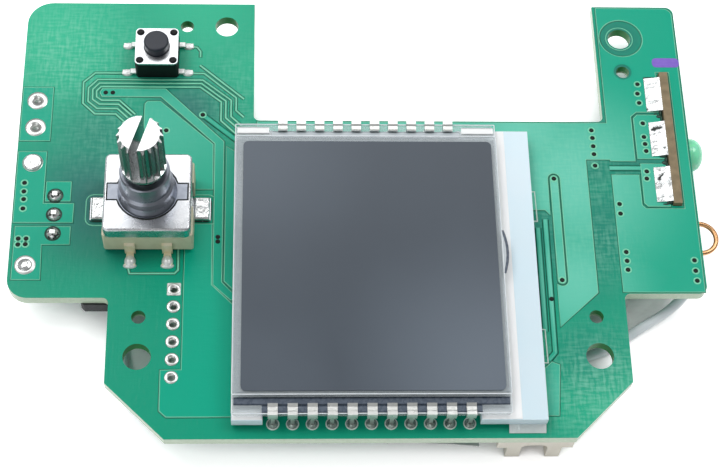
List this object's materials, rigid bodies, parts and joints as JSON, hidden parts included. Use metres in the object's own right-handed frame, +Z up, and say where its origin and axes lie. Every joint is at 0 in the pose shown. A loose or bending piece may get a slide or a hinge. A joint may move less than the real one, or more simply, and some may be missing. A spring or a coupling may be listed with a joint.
{
  "type": "component tester control board",
  "caption": "Display and control board of a component tester: forked green circuit board with a glass display, a turn-and-push encoder, a push button and soldered parts below.",
  "frame": {"origin": "under the middle of the outline, on the surface that the parts under the board stand on", "axes": "+X to the right along the board, +Y from the front edge to the rear arms, +Z up out of the display"},
  "size_m": [0.097, 0.0674, 0.0283],
  "materials": {
    "laminate": "glass fibre laminate with green solder mask",
    "side_laminate": "bare glass fibre laminate",
    "solder": "solidified solder",
    "encoder_plastic": "moulded cream plastic",
    "connector_plastic": "moulded off-white plastic",
    "shell_steel": "tinned sheet steel",
    "cover_steel": "bright sheet steel",
    "bushing_zinc": "die-cast zinc",
    "shaft_metal": "turned metal with a knurl",
    "black_plastic": "moulded black plastic",
    "plunger_plastic": "moulded black plastic, worn smooth",
    "tinned": "bright tin plate",
    "spring_metal": "thin spring metal",
    "glass": "polished glass",
    "polariser": "dark polarising film",
    "seal": "cured resin",
    "guide_acrylic": "clear moulded plate with a frosted face",
    "silver_film": "silvered film",
    "white_film": "white film",
    "lamp_case": "white lamp package",
    "lamp_lens": "pale green tinted lens",
    "copper": "bare copper wire",
    "wire_jacket": "soft white insulation",
    "can_steel": "drawn metal can",
    "tab_metal": "plated copper tab",
    "ferrite": "dark ferrite",
    "resistor_body": "dark glazed ceramic",
    "capacitor_body": "tan ceramic",
    "paper": "brown insulating strip"
  },
  "bodies": {
    "board_assembly": {"main_board": "laminate", "side_board": "side_laminate", "side_board_solder": "solder", "encoder_lug_solder": "solder", "power_transistor_solder": "solder", "wire_pad_solder": "solder", "encoder_base": "encoder_plastic", "connector_housing": "connector_plastic", "encoder_shell": "shell_steel", "button_cover": "cover_steel", "encoder_bushing": "bushing_zinc", "button_base": "black_plastic", "controller": "black_plastic", "power_transistor_body": "black_plastic", "encoder_terminals": "tinned", "button_legs": "tinned", "lcd_pins_front": "tinned", "lcd_pins_rear": "tinned", "controller_leads": "tinned", "connector_contacts": "tinned", "power_transistor_leads": "tinned", "indicator_lamp_leads": "tinned", "link_wire_ends": "tinned", "encoder_contacts": "spring_metal", "encoder_detent_spring": "spring_metal", "encoder_push_dome": "spring_metal", "button_dome": "spring_metal", "lcd_rear_glass": "glass", "lcd_front_glass": "glass", "lcd_front_polariser": "polariser", "lcd_rear_polariser": "polariser", "lcd_edge_seal": "seal", "lcd_end_seal": "seal", "light_guide": "guide_acrylic", "reflector_film": "silver_film", "diffuser_film": "white_film", "backlight_tape": "white_film", "backlight_lamps": "lamp_case", "indicator_lamp": "lamp_lens", "shunt_loop": "copper", "link_wire": "wire_jacket", "crystal": "can_steel", "power_transistor_tab": "tab_metal", "power_inductor": "ferrite", "chip_resistors": "resistor_body", "chip_capacitors": "capacitor_body", "insulating_strip": "paper"},
    "rotor_body": {"encoder_rotor": "black_plastic", "encoder_wiper": "spring_metal"},
    "shaft_body": {"encoder_shaft": "shaft_metal"},
    "plunger_body": {"button_plunger": "plunger_plastic"}
  },
  "joints": [
    {"name": "encoder_turn", "type": "hinge", "parent": "board_assembly", "child": "rotor_body", "pos_m": [-0.0298, -0.00112, 0.0068], "axis": [0, 0, 1], "continuous": true},
    {"name": "encoder_push", "type": "slide", "parent": "rotor_body", "child": "shaft_body", "axis": [0, 0, -1], "range_m": [0, 0.0005], "stiffness_N_per_m": 6000, "springref_m": -0.0001, "deforming": ["encoder_push_dome"]},
    {"name": "button_push", "type": "slide", "parent": "board_assembly", "child": "plunger_body", "axis": [0, 0, -1], "range_m": [0, 0.00025], "stiffness_N_per_m": 6000, "springref_m": -0.0001, "deforming": ["button_dome"]}
  ]
}
